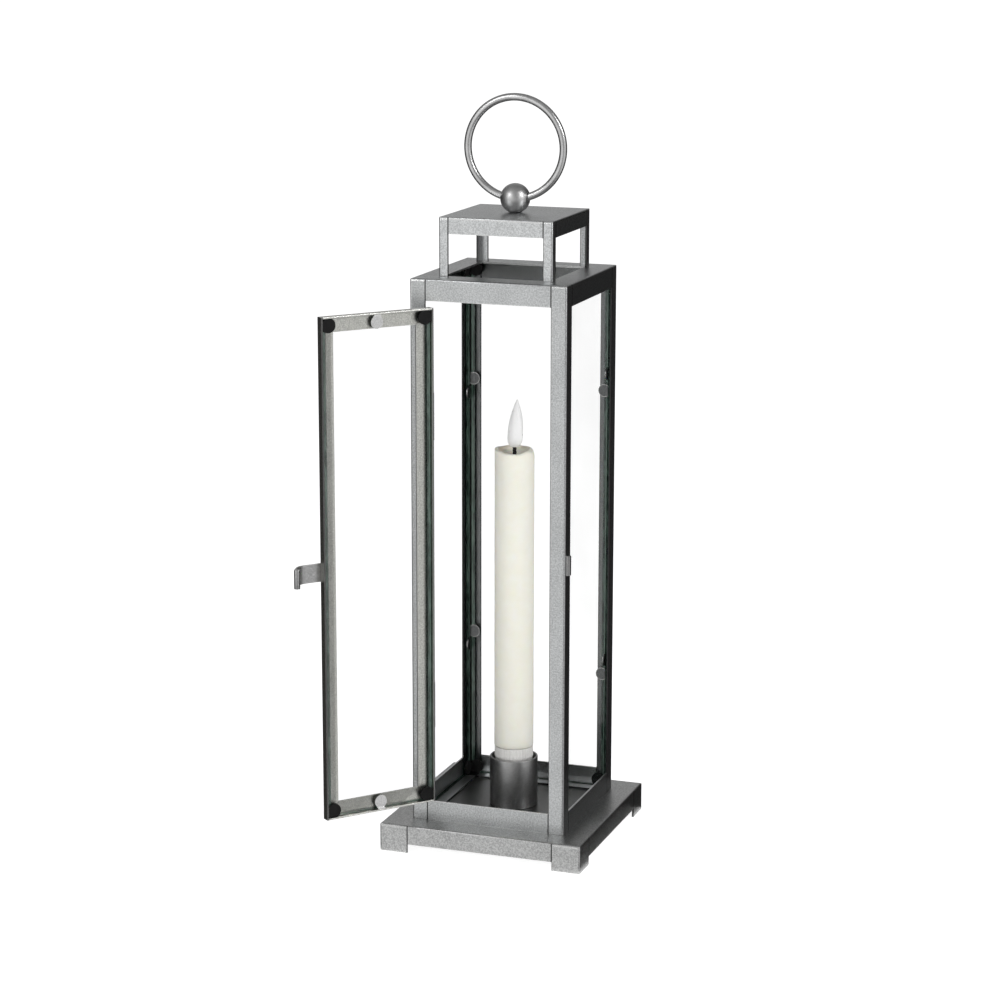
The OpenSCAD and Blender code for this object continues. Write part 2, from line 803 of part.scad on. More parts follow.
// Level section of the steeply coiled wire: an arc as long as the wire's thickness needs at this pitch
module coil_section(r_mid) {
    pitch = spring_h / spring_turns;
    span = 360 * spring_wire / pitch;
    steps = 5;
    polygon(concat(
        [for (i = [0:steps]) (r_mid + spring_wire / 2) * [cos(span * i / steps), sin(span * i / steps)]],
        [for (i = [steps:-1:0]) (r_mid - spring_wire / 2) * [cos(span * i / steps), sin(span * i / steps)]]));
}

module contact_spring() {
    color("silver") translate([0, 0, chamber_z]) {
        cylinder(d = cell_d, h = contact_t);
        translate([0, 0, contact_t - eps])
            linear_extrude(spring_h + eps, twist = -360 * spring_turns, slices = 8 * spring_turns)
                coil_section(cell_d / 2 - spring_wire - 0.2);
    }
}

module switch_knob() {
    low = candle_z0 + 0.2;
    high = slot_top - turn_gap;
    color("dimgray") block([-switch_w / 2, switch_y, low], [switch_w / 2, switch_y + switch_w, high]);
}

// ---- what is drawn ----

base_plate();
corner_foot(-1, -1);  // foot_front_left
corner_foot(1, -1);  // foot_front_right
corner_foot(-1, 1);  // foot_back_left
corner_foot(1, 1);  // foot_back_right
angle_post(-1, -1);  // post_front_left
angle_post(1, -1);  // post_front_right
angle_post(-1, 1);  // post_back_left
angle_post(1, 1);  // post_back_right
bottom_rail(0);  // bottom_rail_front
bottom_rail(1);  // bottom_rail_right
bottom_rail(2);  // bottom_rail_back
bottom_rail(3);  // bottom_rail_left
top_rail(0);  // top_rail_front
top_rail(1);  // top_rail_right
top_rail(2);  // top_rail_back
top_rail(3);  // top_rail_left
turret_leg_at(-1, -1);  // turret_leg_front_left
turret_leg_at(1, -1);  // turret_leg_front_right
turret_leg_at(-1, 1);  // turret_leg_back_left
turret_leg_at(1, 1);  // turret_leg_back_right
turret_aprons();
cap_plate();
ball();
ball_screw();
ball_washer();
glass_side(3);  // glass_left
glass_side(1);  // glass_right
glass_side(2);  // glass_back
glass_tabs();
glass_pads();
latch_keeper();
hinge_leaves_post();
hinge_pins();
candle_cup();
cup_rivet();
door_stile_hinge();
door_stile_free();
door_rail_top();
door_rail_bottom();
door_glass();
door_tabs();
door_pads();
latch_strap();
hinge_leaves_door();
ring_handle();
wax_shell();
wick();
flame();
battery_tube();
cells();
contact_plate();
circuit_board();
led();
led_leads();
candle_plug();
contact_spring();
switch_knob();
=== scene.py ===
# %% [markdown]
# # A tall steel lantern with a battery candle
# The lantern's real sizes come from a measured model, the frame. This lesson dresses that frame: it
# gives every sheet and pane its finish, and it builds the rounded and melted pieces anew, as surfaces
# worked out with numpy. Everything is in metres, with the origin on the ground under the candle.

# %% Load the measured frame
import math
import bmesh
import bpy
import numpy as np
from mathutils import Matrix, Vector


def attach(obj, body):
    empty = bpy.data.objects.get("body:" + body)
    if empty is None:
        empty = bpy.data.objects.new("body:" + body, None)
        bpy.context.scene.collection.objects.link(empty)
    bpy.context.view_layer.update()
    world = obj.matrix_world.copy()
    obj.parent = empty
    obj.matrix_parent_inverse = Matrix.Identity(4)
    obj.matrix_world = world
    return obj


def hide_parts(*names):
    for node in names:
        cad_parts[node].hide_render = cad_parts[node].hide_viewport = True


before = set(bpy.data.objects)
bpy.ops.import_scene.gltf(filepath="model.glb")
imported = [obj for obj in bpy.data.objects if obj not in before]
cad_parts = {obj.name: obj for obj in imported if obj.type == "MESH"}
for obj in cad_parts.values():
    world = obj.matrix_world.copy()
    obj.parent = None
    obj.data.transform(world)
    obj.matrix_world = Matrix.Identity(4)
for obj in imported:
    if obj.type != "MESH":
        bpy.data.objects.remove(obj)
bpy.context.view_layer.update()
MM = 0.001

# %% [markdown]
# ## Where the camera stands
# A lens of about 100 mm stands 1.6 m away and 19 degrees to the right of the door opening, and looks
# down by 12.6 degrees. A long lens keeps the posts nearly parallel, as a maker's catalogue likes.

# %% Camera
AZIMUTH, YAW, PITCH, ROLL = 19.22, 0.32, 12.65, 0.08
DISTANCE, HEIGHT, FOCAL = 1.617, 0.5663, 2819.0

camera_data = bpy.data.cameras.new("camera")
camera_data.sensor_width = 36
camera_data.lens = FOCAL / 1000 * 36
camera_data.clip_start = 0.1
camera = bpy.data.objects.new("camera", camera_data)
bpy.context.collection.objects.link(camera)
around = math.radians(AZIMUTH)
camera.location = (DISTANCE * math.sin(around), -DISTANCE * math.cos(around), HEIGHT)
camera.rotation_euler = (math.radians(90 - PITCH), math.radians(-ROLL), math.radians(AZIMUTH + YAW))
bpy.context.scene.camera = camera
print("lens", round(camera_data.lens, 1), "mm, camera at", [round(c, 3) for c in camera.location])

# %% [markdown]
# ## Shader sums as plain Python
# A finish is a sum of masks. A wrapped socket lets those sums be written as they are said: adding or
# multiplying two wires places a Math node, and a colour is blended with a Mix node.

# %% A wire and a bench of nodes
class Wire:
    """One output socket. Arithmetic on it adds Math nodes; its other methods add one node each."""

    def __init__(self, bench, socket):
        self.bench, self.socket = bench, socket

    def sum_with(self, operation, first, second):
        return self.bench.node("ShaderNodeMath", {"operation": operation}, {0: first, 1: second})

    def __add__(self, other):
        return self.sum_with("ADD", self, other)

    def __sub__(self, other):
        return self.sum_with("SUBTRACT", self, other)

    def __rsub__(self, other):
        return self.sum_with("SUBTRACT", other, self)

    def __mul__(self, other):
        return self.sum_with("MULTIPLY", self, other)

    def at_most(self, other):
        return self.sum_with("MINIMUM", self, other)

    def size(self):
        return self.sum_with("ABSOLUTE", self, 0.0)

    __radd__, __rmul__ = __add__, __mul__

    def ramp(self, low, high, out_low=0.0, out_high=1.0):
        """Straight-line change from out_low at low to out_high at high, held flat outside."""
        sockets = {"Value": self, "From Min": low, "From Max": high, "To Min": out_low, "To Max": out_high}
        return self.bench.node("ShaderNodeMapRange", {"clamp": True}, sockets)


class Bench:
    """The node tree of a new material, or of the sky, with one method that places any node."""

    def __init__(self, name, sky=False):
        self.material = (bpy.data.worlds if sky else bpy.data.materials).new(name)
        self.material.use_nodes = True
        self.tree = self.material.node_tree
        self.tree.nodes.clear()
        self.place = self.node("ShaderNodeTexCoord", {}, {}, "Generated" if sky else "Object")

    def node(self, kind, settings, sockets, out=0):
        """Adds a node of this kind, applies its settings, fills its sockets with values or wires."""
        made = self.tree.nodes.new(kind)
        for key, value in settings.items():
            setattr(made, key, value)
        for key, value in sockets.items():
            if isinstance(value, Wire):
                self.tree.links.new(value.socket, made.inputs[key])
            else:
                made.inputs[key].default_value = value
        return Wire(self, made.outputs[out]) if made.outputs else made

    def axis(self, letter):
        return self.node("ShaderNodeSeparateXYZ", {}, {"Vector": self.place}, letter)

    def noise(self, per_metre, detail=2.0, rough=0.5, stretch=(1, 1, 1)):
        """Cloudy noise with so many cells to the metre, stretched along the axes."""
        spot = self.node("ShaderNodeMapping", {}, {"Vector": self.place, "Scale": stretch})
        sockets = {"Vector": spot, "Scale": per_metre, "Detail": detail, "Roughness": rough}
        return self.node("ShaderNodeTexNoise", {}, sockets, "Fac")

    def along(self, vector, direction):
        """How far a vector reaches along a direction: their dot product."""
        sockets = {0: vector, 1: direction}
        return self.node("ShaderNodeVectorMath", {"operation": "DOT_PRODUCT"}, sockets, "Value")

    def normal(self):
        """The true normal of the face."""
        return self.node("ShaderNodeNewGeometry", {}, {}, "Normal")

    def own_normal(self):
        """The same normal as the piece itself has it, however its body is turned."""
        turned_back = {"vector_type": "NORMAL", "convert_from": "WORLD", "convert_to": "OBJECT"}
        return self.node("ShaderNodeVectorTransform", turned_back, {"Vector": self.normal()})

    def blend(self, mask, first, second):
        """Colour that goes from first to second as the mask goes from 0 to 1."""
        made = self.tree.nodes.new("ShaderNodeMix")
        made.data_type = "RGBA"
        for index, value in ((0, mask), (6, first), (7, second)):
            if isinstance(value, Wire):
                self.tree.links.new(value.socket, made.inputs[index])
            else:
                made.inputs[index].default_value = value if index == 0 else (*value, 1.0)
        return Wire(self, made.outputs[2])

    def bump(self, height, depth, strength=1.0):
        """Normal tilted by a height map; depth is the height of 1.0 in metres."""
        sockets = {"Height": height, "Distance": depth, "Strength": strength}
        return self.node("ShaderNodeBump", {}, sockets, "Normal")

    def surface(self, sockets):
        """The Principled shader with its sockets filled, wired to the output."""
        shader = self.node("ShaderNodeBsdfPrincipled", {}, sockets)
        self.node("ShaderNodeOutputMaterial", {}, {"Surface": shader})
        return self.material


def grey(level, tint=(1.0, 1.0, 1.0)):
    return tuple(level * t for t in tint)

print("wires and benches ready")

# %% [markdown]
# ## The silver-grey coat
# Every sheet is sprayed with a silver-grey powder coat. Close up it is mottled: small darker islands lie on a
# brighter ground, and the skin is slightly hammered. Folded and cut edges are painted bright: partly wear of
# the thin coat there, partly a painted highlight. A bevelled normal compared with the true one finds the
# edges on any shape.

# %% Edge mask
def near_edge(bench, radius):
    """1 at a convex edge, 0 on flats: how far the normal turns when edges are rounded by this radius."""
    soft = bench.node("ShaderNodeBevel", {"samples": 6}, {"Radius": radius})
    return bench.along(soft, bench.normal()).ramp(0.998, 0.85)

print("edge mask ready")

# %% Where the coat changes
HAIR = 0.0003  # a change of tone is spread over this width, in metres
OPEN = math.radians(130)
DOOR_ALONG = (math.cos(OPEN), -math.sin(OPEN), 0.0)
DOOR_INWARD = (math.sin(OPEN), math.cos(OPEN), 0.0)
DOOR_MIDDLE = 0.09597


def inside(bench, half, ceiling):
    """1 in the upright square space of this half width, below the ceiling."""
    within = bench.axis("X").size().ramp(half, half + HAIR, 1.0, 0.0)
    within = within * bench.axis("Y").size().ramp(half, half + HAIR, 1.0, 0.0)
    return within * bench.axis("Z").ramp(ceiling, ceiling + HAIR, 1.0, 0.0)


def seam_line(bench, seam):
    """A thin line on upright faces, where two sheets meet this far from the middle in X or in Y."""
    up = bench.node("ShaderNodeSeparateXYZ", {}, {"Vector": bench.normal()}, "Z")
    upright = up.size().ramp(0.5, 0.9, 1.0, 0.0)
    gap = (bench.axis("X").size() - seam).size().at_most((bench.axis("Y").size() - seam).size())
    return gap.ramp(0.00024, 0.00052, 0.92, 0.0) * upright


def door_wall_shade(bench, rim):
    """1 on the inward faces of the door's walls, which lie beyond this distance from its middle: there the
    coat gets a painted shade.
    """
    far_out = (bench.along(bench.place, DOOR_ALONG) - DOOR_MIDDLE).size().ramp(rim, rim + 0.0002)
    return far_out * bench.along(bench.own_normal(), DOOR_INWARD).ramp(0.3, 0.6)

print("the open door runs along", [round(c, 3) for c in DOOR_ALONG])

# %% The coat
def silver_coat(name, bright, dark, rough, inside_light_and_shade=None, half=0.0, ceiling=1.0, seam=None, rim=None):
    """Mottled metallic paint between two greys, with bright edges, partly edge wear and partly a painted
    highlight, and a fine hammered bump. In the space of the given half width and ceiling its tone is the
    given inside tone: painted shade on the posts and top rails, painted light on the bottom rails, and a
    darker grey on the base. `seam` draws the dark lines between sheets and `rim` sets where the painted shade
    on the inward faces of the door's walls begins."""
    bench = Bench(name)
    islands = bench.noise(1150.0, 3.0, 0.75).ramp(0.42, 0.58)
    grains = bench.noise(2400.0, 2.0, 0.7).ramp(0.38, 0.62)
    clouds = bench.noise(60.0, 2.0).ramp(0.3, 0.7)
    mottle = islands * 0.55 + grains * 0.33 + clouds * 0.12
    coat = bench.blend(mottle, dark, bright)
    # Inside the lantern the coat takes its inside tone: painted shade on posts and top rails, painted light
    # on the bottom rails, darker on the base.
    if inside_light_and_shade:
        coat = bench.blend(inside(bench, half, ceiling), coat, inside_light_and_shade)
    # Bright edges: partly wear of the thin coat, partly a painted highlight along folds and cut edges.
    edge_wear_and_highlight = near_edge(bench, 0.0008) * grains.ramp(0.0, 0.6, 0.5, 1.0)
    coat = bench.blend(edge_wear_and_highlight * 0.85, coat, grey(0.88, (1.0, 1.0, 0.98)))
    if seam:
        coat = bench.blend(seam_line(bench, seam), coat, grey(0.02))
    # Painted shade on the inward faces of the door's walls, dark grey.
    if rim:
        coat = bench.blend(door_wall_shade(bench, rim), coat, grey(0.10))
    return bench.surface({
        "Base Color": coat,
        "Metallic": 1.0,
        "Roughness": rough + mottle * -0.08 + edge_wear_and_highlight * -0.08,
        "Normal": bench.bump(islands * 0.5 + grains * 0.5, 0.00005, 0.5),
    })

# %% [markdown]
# Each kind of sheet has its own pair of greys. Inside the lantern the posts and top rails carry a painted
# shade, darker than outside, and the bottom rails' inner faces a painted light, lighter than outside. The
# base is darker inside the body's square.

# %% The coats
COOL, WARM = (0.975, 0.995, 1.0), (1.0, 1.0, 0.94)
BODY_SEAM, TURRET_SEAM, BASE_SEAM = 0.0376, 0.0285, 0.0447
BODY = {"half": 0.0465, "ceiling": 0.337, "seam": BODY_SEAM}

turret_coat = silver_coat("turret_coat", grey(0.70, COOL), grey(0.36, COOL), 0.36, seam=TURRET_SEAM)
post_coat = silver_coat("post_coat", grey(0.63, COOL), grey(0.31, COOL), 0.36, grey(0.20, COOL), **BODY)
rail_coat = silver_coat("rail_coat", grey(0.58, COOL), grey(0.28, COOL), 0.36, grey(0.66, COOL), **BODY)
door_coat = silver_coat("door_coat", grey(0.74, WARM), grey(0.42, WARM), 0.38, rim=0.0346)
base_coat = silver_coat("base_coat", grey(0.60, (0.99, 1.0, 0.99)), grey(0.27), 0.38, grey(0.20),
                        half=0.0455, seam=BASE_SEAM)
fitting_coat = silver_coat("fitting_coat", grey(0.46), grey(0.26), 0.34)
# The glass tabs get a near-black copy of the door tabs' coat: painted shade, for tabs that stand in shadow.
painted_shade_tab_coat = silver_coat("painted_shade_tab_coat", grey(0.16, COOL), grey(0.08, COOL), 0.34)
door_tab_coat = silver_coat("door_tab_coat", grey(0.70), grey(0.46), 0.36)
print("coats:", [coat.name for coat in (turret_coat, post_coat, rail_coat, door_coat, base_coat,
                                      fitting_coat, painted_shade_tab_coat, door_tab_coat)])

# %% [markdown]
# ## Steels
# The ball and the cup are satin dark steel, the ring is a lighter wire, and screws and pins are zinc
# plated. Fine drawn lines run round the cup and along the wire; a noise squeezed along one axis draws
# them.

# %% Steels
def steel(name, bright, dark, rough, squeeze=(1, 1, 6), lines=900.0):
    """Metal whose tone and roughness follow fine drawn lines and a broad cloudiness."""
    bench = Bench(name)
    drawn = bench.noise(lines, 3.0, 0.6, squeeze).ramp(0.3, 0.7)
    clouds = bench.noise(120.0, 2.0).ramp(0.35, 0.65)
    tone = bench.blend(drawn * 0.5 + clouds * 0.5, dark, bright)
    # Lighter edges: partly wear, partly a painted highlight.
    edge_wear_and_highlight = near_edge(bench, 0.0005)
    return bench.surface({
        "Base Color": bench.blend(edge_wear_and_highlight * 0.5, tone, grey(0.75)),
        "Metallic": 1.0,
        "Roughness": rough + drawn * 0.08,
        "Normal": bench.bump(drawn, 0.00002, 0.4),
    })

ball_steel = steel("ball_steel", grey(0.60), grey(0.42), 0.36, (1, 1, 1), 1500.0)
cup_steel = steel("cup_steel", grey(0.48), grey(0.31), 0.37, (1, 1, 5), 500.0)
ring_steel = steel("ring_steel", grey(0.61), grey(0.44), 0.26, (1, 1, 1), 1200.0)
zinc = steel("zinc", grey(0.72), grey(0.55), 0.3, (1, 1, 1), 900.0)
print("steels:", ball_steel.name, cup_steel.name, ring_steel.name, zinc.name)

# %% [markdown]
# ## Glass
# Window glass looks clear through its face and green through its edge, because light travels
# far inside it there. A pane is therefore almost transparent on its two wide faces and a dense
# bottle green, crossed by brighter streaks, on its thin sides.

# %% Glass
def pane_glass(name, thin_axis, wide_axis, middle, half_width):
    """Clear faces across the pane's thin axis; green on its sides, and in a narrow band along both
    long sides, where the eye sees the side through the face. The band is where the distance along
    the wide axis from the pane's middle nears the half width."""
    bench = Bench(name)
    reach = (bench.along(bench.place, wide_axis) - middle).size()
    side = bench.along(bench.own_normal(), thin_axis).size().ramp(0.6, 0.9, 1.0, 0.0)
    band = reach.ramp(half_width - 0.0024, half_width - 0.0020)
    # A brighter green line along the very edge of the band: a painted glint.
    painted_edge_glint = reach.ramp(half_width - 0.0008, half_width - 0.0006)
    streaks = bench.noise(260.0, 3.0, 0.7, (1, 1, 0.25)).ramp(0.4, 0.62)
    green = bench.blend(streaks, (0.015, 0.035, 0.026), (0.15, 0.25, 0.20))
    band_green = bench.blend(painted_edge_glint, (0.015, 0.03, 0.023), (0.09, 0.15, 0.12))
    face = bench.blend(band, (0.03, 0.045, 0.04), bench.blend(streaks * 0.25, band_green, (0.30, 0.40, 0.35)))
    haze = bench.noise(30.0, 2.0).ramp(0.3, 0.7)
    clear = 1.0 - side
    return bench.surface({
        "Base Color": bench.blend(side, face, green),
        "Alpha": side * 0.90 + clear * band * 0.84 + haze * 0.02 + 0.04,
        "Roughness": side * 0.1 + 0.03,
        "Metallic": 0.0,
    })

ALONG_X, ALONG_Y = (1.0, 0.0, 0.0), (0.0, 1.0, 0.0)
HALF_PANE, HALF_DOOR_PANE = 0.043, 0.0342
side_glass = pane_glass("side_glass", ALONG_X, ALONG_Y, 0.0, HALF_PANE)
back_glass = pane_glass("back_glass", ALONG_Y, ALONG_X, 0.0, HALF_PANE)
door_pane_glass = pane_glass("door_pane_glass", DOOR_INWARD, DOOR_ALONG, DOOR_MIDDLE, HALF_DOOR_PANE)
print("glass:", side_glass.name, back_glass.name, door_pane_glass.name)

# %% [markdown]
# ## Rubber, wax and plastic
# The pads are dull black rubber. The candle's skin is real wax over a plastic tube: ivory, softly
# cloudy, and slightly see-through, so some light is scattered under its surface. Its base is moulded
# white plastic and the flame a milky plastic drop.

# %% Soft finishes
def dull(name, bright, dark, rough, scale=700.0, depth=0.00004, scatter=None, shine=0.5):
    """A non-metal with cloudy tone between two colours and a fine grainy skin. `scatter` is the share
    of light that goes under the skin, and how far its red, green and blue then reach."""
    bench = Bench(name)
    clouds = bench.noise(90.0, 3.0).ramp(0.3, 0.7)
    grains = bench.noise(scale, 2.0, 0.7).ramp(0.3, 0.7)
    sockets = {
        "Base Color": bench.blend(clouds * 0.6 + grains * 0.4, dark, bright),
        "Roughness": rough + grains * 0.1,
        "Normal": bench.bump(clouds * 0.5 + grains * 0.5, depth, 0.4),
        "Metallic": 0.0,
        "Specular IOR Level": shine,
    }
    if scatter:
        share, reach = scatter
        sockets.update({"Subsurface Weight": share, "Subsurface Radius": reach, "Subsurface Scale": 0.004})
    return bench.surface(sockets)

rubber = dull("rubber", grey(0.014), grey(0.005), 0.55, shine=0.12)
ivory_wax = dull("ivory_wax", (0.99, 0.965, 0.87), (0.965, 0.925, 0.79), 0.42, 300.0, 0.00008,
                 (0.25, (1.0, 0.7, 0.4)))
milky = dull("milky", (0.995, 0.995, 0.99), (0.98, 0.98, 0.98), 0.25, 200.0, 0.00002, (0.3, (1.0, 1.0, 1.0)))
white_plastic = dull("white_plastic", (0.86, 0.85, 0.83), (0.80, 0.79, 0.77), 0.32)
charred = dull("charred", grey(0.02), grey(0.004), 0.8, 2500.0, 0.0002)
cell_wrap = dull("cell_wrap", (0.50, 0.36, 0.12), (0.40, 0.28, 0.08), 0.3)
board_lacquer = dull("board_lacquer", (0.06, 0.26, 0.12), (0.03, 0.17, 0.08), 0.3)
knob_black = dull("knob_black", grey(0.05), grey(0.02), 0.4)
print("soft finishes:", rubber.name, ivory_wax.name, milky.name, white_plastic.name)

# %% [markdown]
# ## Dressing the measured sheets
# The flat sheets of the frame already have the right shape, so they stay. Their triangles are loose,
# so a Weld joins them first and a small Bevel then breaks every cut edge, as a press leaves it.

# %% Sheets of the frame
CORNERS = ("front_left", "front_right", "back_left", "back_right")
SIDES = ("front", "right", "back", "left")
POSTS = ["post_" + corner for corner in CORNERS] + ["top_rail_" + side for side in SIDES]
RAILS = ["bottom_rail_" + side for side in SIDES]
TURRET = ["turret_leg_" + corner for corner in CORNERS] + ["turret_aprons", "cap_plate"]
DOOR = ["door_stile_hinge", "door_stile_free", "door_rail_top", "door_rail_bottom"]
BASE = ["base_plate"] + ["foot_" + corner for corner in CORNERS]

FINISH = {
    "ball": ball_steel, "ball_screw": zinc, "ball_washer": zinc, "candle_cup": cup_steel, "cup_rivet": zinc,
    "glass_left": side_glass, "glass_right": side_glass, "glass_back": back_glass,
    "door_glass": door_pane_glass, "glass_tabs": painted_shade_tab_coat, "door_tabs": door_tab_coat,
    "glass_pads": rubber, "door_pads": rubber, "latch_keeper": fitting_coat, "latch_strap": fitting_coat,
    "hinge_leaves_post": fitting_coat, "hinge_leaves_door": fitting_coat, "hinge_pins": zinc,
    "ring_handle": ring_steel, "wax_shell": ivory_wax, "wick": charred, "flame": milky,
    "battery_tube": white_plastic, "cells": cell_wrap, "contact_plate": zinc,
    "circuit_board": board_lacquer, "led": milky, "led_leads": zinc, "candle_plug": white_plastic,
    "contact_spring": zinc, "switch_knob": knob_black,
}
for nodes, coat in ((POSTS, post_coat), (RAILS, rail_coat), (TURRET, turret_coat), (DOOR, door_coat),
                    (BASE, base_coat)):
    FINISH.update({name: coat for name in nodes})


def dress(node, finish):
    """Gives a CAD node its finish."""
    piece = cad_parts[node]
    for slot in piece.material_slots:
        slot.material = finish


def ease_edges(piece, width, angle=40.0):
    """Joins loose triangles and breaks every edge sharper than the angle."""
    weld = piece.modifiers.new("weld", "WELD")
    weld.merge_threshold = 0.000002
    bevel = piece.modifiers.new("bevel", "BEVEL")
    bevel.width = width
    bevel.segments = 2
    bevel.limit_method = "ANGLE"
    bevel.angle_limit = math.radians(angle)


# a sawn or pressed edge is broken by so much, in metres
EASED = {
    0.00022: POSTS + RAILS + TURRET + DOOR + BASE,
    0.0003: ["glass_left", "glass_right", "glass_back", "door_glass"],
    0.00018: ["glass_tabs", "door_tabs", "latch_strap", "latch_keeper"],
    0.0004: ["glass_pads", "door_pads"],
}
for node, finish in FINISH.items():
    dress(node, finish)
for width, nodes in EASED.items():
    for node in nodes:
        ease_edges(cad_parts[node], width)
print("dressed", len(FINISH), "of", len(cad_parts), "nodes")

# %% [markdown]
# ## Round pieces as surfaces
# Turned and moulded pieces are surfaces of two parameters: an angle runs round an axis, and a profile
# runs along it. One helper turns a grid of points into a closed skin, joins its seam and poles, and
# hands it to the frame with its finish. Smooth shading stops at real edges.

# %% Grids into pieces
def skin(points):
    """Vertices and faces of a grid (rows, columns, 3) whose columns close on themselves."""
    rows, columns = points.shape[:2]
    row, column = np.mgrid[0:rows - 1, 0:columns]
    after = (column + 1) % columns
    quads = np.stack([row * columns + column, row * columns + after,
                      (row + 1) * columns + after, (row + 1) * columns + column], axis=-1)
    return points.reshape(-1, 3), quads.reshape(-1, 4)


def add_piece(name, points, finish, body, stands_for, sharp=35.0):
    places, quads = skin(points)
    mesh = bpy.data.meshes.new(name)
    mesh.from_pydata((places * MM).tolist(), [], quads.tolist())
    shape = bmesh.new()
    shape.from_mesh(mesh)
    bmesh.ops.remove_doubles(shape, verts=shape.verts, dist=1e-7)
    bmesh.ops.dissolve_degenerate(shape, edges=shape.edges, dist=1e-8)
    bmesh.ops.recalc_face_normals(shape, faces=shape.faces)
    shape.to_mesh(mesh)
    shape.free()
    mesh.shade_smooth()
    mesh.set_sharp_from_angle(angle=math.radians(sharp))
    mesh.materials.append(finish)
    piece = bpy.data.objects.new(name, mesh)
    bpy.context.collection.objects.link(piece)
    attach(piece, body)
    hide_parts(*stands_for)
    print(name, "has", len(mesh.polygons), "faces")


def turned(profile, steps=96):
    """Revolves (radius, height) pairs about Z: x = r cos t, y = r sin t, z = h."""
    radius, height = np.array(profile, float).T
    turn = np.linspace(0, 2 * np.pi, steps, endpoint=False)
    return np.stack([radius[:, None] * np.cos(turn), radius[:, None] * np.sin(turn),
                     height[:, None] + 0 * turn], axis=-1)


def corner_arc(centre, radius, start, stop, count=6):
    """Points of an arc in the (radius, height) plane, angles in degrees."""
    angle = np.radians(np.linspace(start, stop, count))
    return [(centre[0] + radius * math.cos(a), centre[1] + radius * math.sin(a)) for a in angle]

print("grid helpers ready")

# %% [markdown]
# ## Carrying ring and ball
# The ring is round wire bent into a circle and welded shut: a small circle carried round a large one,
# that is a torus. The ball it runs through is bored along X, and the bore opens towards its mouths,
# because the curved wire needs room. The ball is revolved about X: along the bore the radius is the
# wire's own curve plus a gap, and then the sphere takes over.

# %% Ring
RING_HEIGHT, RING_RADIUS, WIRE = 409.9, 28.9, 2.2
BALL_HEIGHT, BALL_RADIUS, CAP_TOP = 381.0, 8.7, 372.8


def torus(large, small, height, around=160, across=28):
    """Upright torus: the wire's centre runs round a circle in X and Z, the wire's skin round that."""
    sweep = np.linspace(0, 2 * np.pi, around, endpoint=True)[:, None]
    round_wire = np.linspace(0, 2 * np.pi, across, endpoint=False)[None, :]
    reach = large + small * np.cos(round_wire)
    return np.stack([reach * np.sin(sweep), small * np.sin(round_wire) + 0 * sweep,
                     height - reach * np.cos(sweep)], axis=-1)


add_piece("carry_ring", torus(RING_RADIUS, WIRE, RING_HEIGHT), ring_steel,
          "ring", ["ring_handle"])

# %% Ball
def bored_ball(radius, height, flat, mouth=7.9, gap=26.5):
    """Sphere about X with a flared bore: bore radius = ring radius - sqrt(gap^2 - x^2), sphere radius
    = sqrt(R^2 - x^2). The foot of the ball is cut flat where it sits on the cap."""
    bored = np.linspace(-mouth + 0.12, mouth - 0.12, 15)
    outside = mouth * np.cos(np.linspace(0, np.pi, 61))
    x = np.concatenate([bored, outside, bored[:1]])
    bore = RING_RADIUS - np.sqrt(gap ** 2 - bored ** 2)
    r = np.concatenate([bore, np.sqrt(radius ** 2 - outside ** 2), bore[:1]])
    turn = np.linspace(0, 2 * np.pi, 96, endpoint=False)
    z = height + r[:, None] * np.cos(turn)
    return np.stack([x[:, None] + 0 * turn, r[:, None] * np.sin(turn), np.maximum(z, flat)], axis=-1)


add_piece("bored_ball", bored_ball(BALL_RADIUS, BALL_HEIGHT, CAP_TOP), ball_steel,
          "frame", ["ball"])

# %% [markdown]
# ## Candle cup
# The cup is a short drawn tube with a floor, riveted to the lantern. Its rim is rounded by nearly half
# a millimetre on each side of the wall, which is what draws the thin bright arc along its mouth.

# %% Cup
CUP, CUP_WALL, CUP_LOW, CUP_HIGH = 14.35, 1.2, 16.8, 46.7


def cup_profile(radius, wall, low, high, soft=0.45):
    """Section of the cup, round its rim and its outer foot, from the axis outside to the axis inside."""
    rim = radius - wall
    points = [(0.001, low), (radius - 0.5, low)]
    points += corner_arc((radius - soft, low + soft), soft, -90, 0)
    points += [(radius, low + 4), (radius, high - 4)]
    points += corner_arc((radius - soft, high - soft), soft, 0, 90)
    points += corner_arc((rim + soft, high - soft), soft, 90, 180)
    points += [(rim, low + wall + 1.0)] + corner_arc((rim - 1.0, low + wall + 1.0), 1.0, 0, -90)
    return points + [(0.001, low + wall)]


add_piece("drawn_cup", turned(cup_profile(CUP, CUP_WALL, CUP_LOW, CUP_HIGH), 128), cup_steel,
          "frame", ["candle_cup"])

# %% [markdown]
# ## Wax, wick and flame
# The candle's wax is a tube whose top looks burnt down: a shallow dish with a rim that rises and
# falls, thin on the left and melted into a round shoulder on the right. So the rim's height and its
# rounding are both waves of the angle, and one profile is bent to follow them. The wick is a twisted
# cord, and the flame is a moulded drop that leans a little.

# %% Wax
WAX, WAX_LOW, WAX_HIGH, DISH = 11.7, 53.5, 235.4, 231.0
WAX_TUBE, WAX_ROOF, WICK_HOLE = 9.6, 226.0, 1.25


def bump_at(turn, centre, width, power=2):
    """A hump of height 1 round one angle: exp(-|angle difference / width|^power). Four gives a flat top."""
    away = np.angle(np.exp(1j * (turn - math.radians(centre))))
    return np.exp(-np.abs(away / math.radians(width)) ** power)


